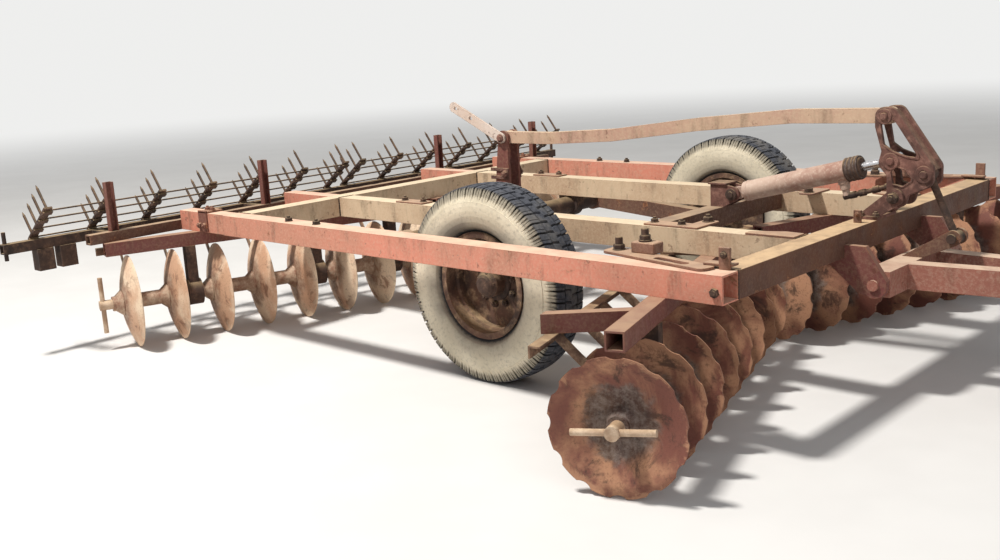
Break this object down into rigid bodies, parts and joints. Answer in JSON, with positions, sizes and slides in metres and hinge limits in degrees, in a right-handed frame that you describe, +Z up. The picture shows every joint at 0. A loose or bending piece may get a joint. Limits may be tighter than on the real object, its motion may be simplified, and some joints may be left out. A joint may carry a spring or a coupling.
{
  "type": "disc harrow",
  "caption": "Wheeled tandem disc harrow: box frame over angled gangs of dished discs, wheels on a cranked lift axle, cylinder and lever linkage to a hinged drawbar, tine sections behind.",
  "frame": {"origin": "on the ground, mid-way along the overall length, on the machine's middle line", "axes": "+X forward toward the hitch, +Y to the machine's left, +Z up"},
  "size_m": [5.9654, 5, 1.332],
  "materials": {
    "red_paint": "faded, dusty",
    "brown_paint": "rusted, weathered",
    "dusty_paint": "dusty, faded",
    "faded_paint": "faded, dusty",
    "disc_steel": "rusted, worn",
    "rusty_bar": "rusted, worn",
    "rusty_rim": "rusted",
    "cast_lever": "rusted casting",
    "chrome_rod": "polished",
    "tyre": "dusty rubber"
  },
  "bodies": {
    "frame": {"outer_beams": "red_paint", "inner_beams": "dusty_paint", "front_crossbeam": "brown_paint", "rear_crossbeam": "dusty_paint", "mid_crossbeam": "brown_paint", "rear_arms": "red_paint", "rear_tie_bar": "brown_paint", "gang_beams": "brown_paint", "bearing_legs": "brown_paint", "front_scrapers": "brown_paint", "rear_scrapers": "brown_paint", "front_stays": "brown_paint", "shaft_bearings": "brown_paint", "cylinder_bracket": "brown_paint", "lever_bracket": "brown_paint", "drawbar_ears": "brown_paint", "harrow_carrier": "brown_paint", "harrow_posts": "red_paint", "tine_section_right": "brown_paint", "tine_section_left": "brown_paint"},
    "front_right_gang": {"gang_front_right": "disc_steel", "gang_handle_front_right": "rusty_bar"},
    "front_left_gang": {"gang_front_left": "disc_steel", "gang_handle_front_left": "rusty_bar"},
    "rear_right_gang": {"gang_rear_right": "disc_steel", "gang_handle_rear_right": "rusty_bar"},
    "rear_left_gang": {"gang_rear_left": "disc_steel", "gang_handle_rear_left": "rusty_bar"},
    "lift_axle": {"lift_shaft": "brown_paint", "wheel_arms": "brown_paint", "lift_mast": "brown_paint", "lock_bar": "faded_paint"},
    "wheel_right": {"tyre_right": "tyre", "rim_right": "rusty_rim"},
    "wheel_left": {"tyre_left": "tyre", "rim_left": "rusty_rim"},
    "lever": {"bell_crank": "cast_lever"},
    "link": {"levelling_link": "faded_paint"},
    "barrel": {"cylinder_barrel": "faded_paint"},
    "rod": {"cylinder_rod": "chrome_rod"},
    "tongue": {"drawbar": "red_paint", "drawbar_lugs": "brown_paint", "hitch": "brown_paint"},
    "drawbar_rod": {"level_rod": "brown_paint"},
    "stand": {"parking_stand": "brown_paint"}
  },
  "joints": [
    {"name": "lift", "type": "hinge", "parent": "frame", "child": "lift_axle", "pos_m": [-1.1523, 0, 0.59], "axis": [0, 1, 0], "range_deg": [-8, 18]},
    {"name": "wheel_right_spin", "type": "hinge", "parent": "lift_axle", "child": "wheel_right", "pos_m": [-0.2073, -1.16, 0.51], "axis": [0, 1, 0], "continuous": true},
    {"name": "wheel_left_spin", "type": "hinge", "parent": "lift_axle", "child": "wheel_left", "pos_m": [-0.2073, 1.16, 0.51], "axis": [0, 1, 0], "continuous": true},
    {"name": "lever_pivot", "type": "hinge", "parent": "frame", "child": "lever", "pos_m": [1.4127, 0, 0.885], "axis": [0, 1, 0], "range_deg": [-10.47, 23.57]},
    {"name": "link_pivot", "type": "hinge", "parent": "lift_axle", "child": "link", "pos_m": [-1.1173, 0, 1.11], "axis": [0, 1, 0], "range_deg": [-19.22, 8.54]},
    {"name": "barrel_pivot", "type": "hinge", "parent": "frame", "child": "barrel", "pos_m": [0.5157, 0, 0.846], "axis": [0, 1, 0], "range_deg": [-0.4, 0.89]},
    {"name": "rod_slide", "type": "slide", "parent": "barrel", "child": "rod", "axis": [0.9724, 0, 0.2333], "range_m": [-0.03129, 0.0704]},
    {"name": "drawbar_hinge", "type": "hinge", "parent": "frame", "child": "tongue", "pos_m": [1.4827, 0, 0.54], "axis": [0, 1, 0], "range_deg": [-7.24, 16.29]},
    {"name": "drawbar_rod_pivot", "type": "hinge", "parent": "tongue", "child": "drawbar_rod", "pos_m": [1.6787, 0, 0.703], "axis": [0, 1, 0], "range_deg": [-16.64, 7.39]},
    {"name": "stand_swing", "type": "hinge", "parent": "tongue", "child": "stand", "pos_m": [2.3927, -0.167, 0.54], "axis": [0, 1, 0], "range_deg": [-92, 0]},
    {"name": "front_right_spin", "type": "hinge", "parent": "frame", "child": "front_right_gang", "pos_m": [1.1827, -1.96, 0.28], "axis": [-0.309, 0.9511, 0], "continuous": true},
    {"name": "front_left_spin", "type": "hinge", "parent": "frame", "child": "front_left_gang", "pos_m": [1.1827, 1.96, 0.28], "axis": [-0.309, -0.9511, 0], "continuous": true},
    {"name": "rear_right_spin", "type": "hinge", "parent": "frame", "child": "rear_right_gang", "pos_m": [-2.5673, -1.96, 0.28], "axis": [0.309, 0.9511, 0], "continuous": true},
    {"name": "rear_left_spin", "type": "hinge", "parent": "frame", "child": "rear_left_gang", "pos_m": [-2.5673, 1.96, 0.28], "axis": [0.309, -0.9511, 0], "continuous": true}
  ],
  "couplings": [
    {"joint": "lever_pivot", "follows": "lift", "ratio": 1.2835},
    {"joint": "link_pivot", "follows": "lift", "ratio": -1.0466},
    {"joint": "barrel_pivot", "follows": "lift", "ratio": 0.0413},
    {"joint": "rod_slide", "follows": "lift", "m_per_rad": 0.2197},
    {"joint": "drawbar_hinge", "follows": "lift", "ratio": 0.8874},
    {"joint": "drawbar_rod_pivot", "follows": "lift", "ratio": -0.9063}
  ]
}
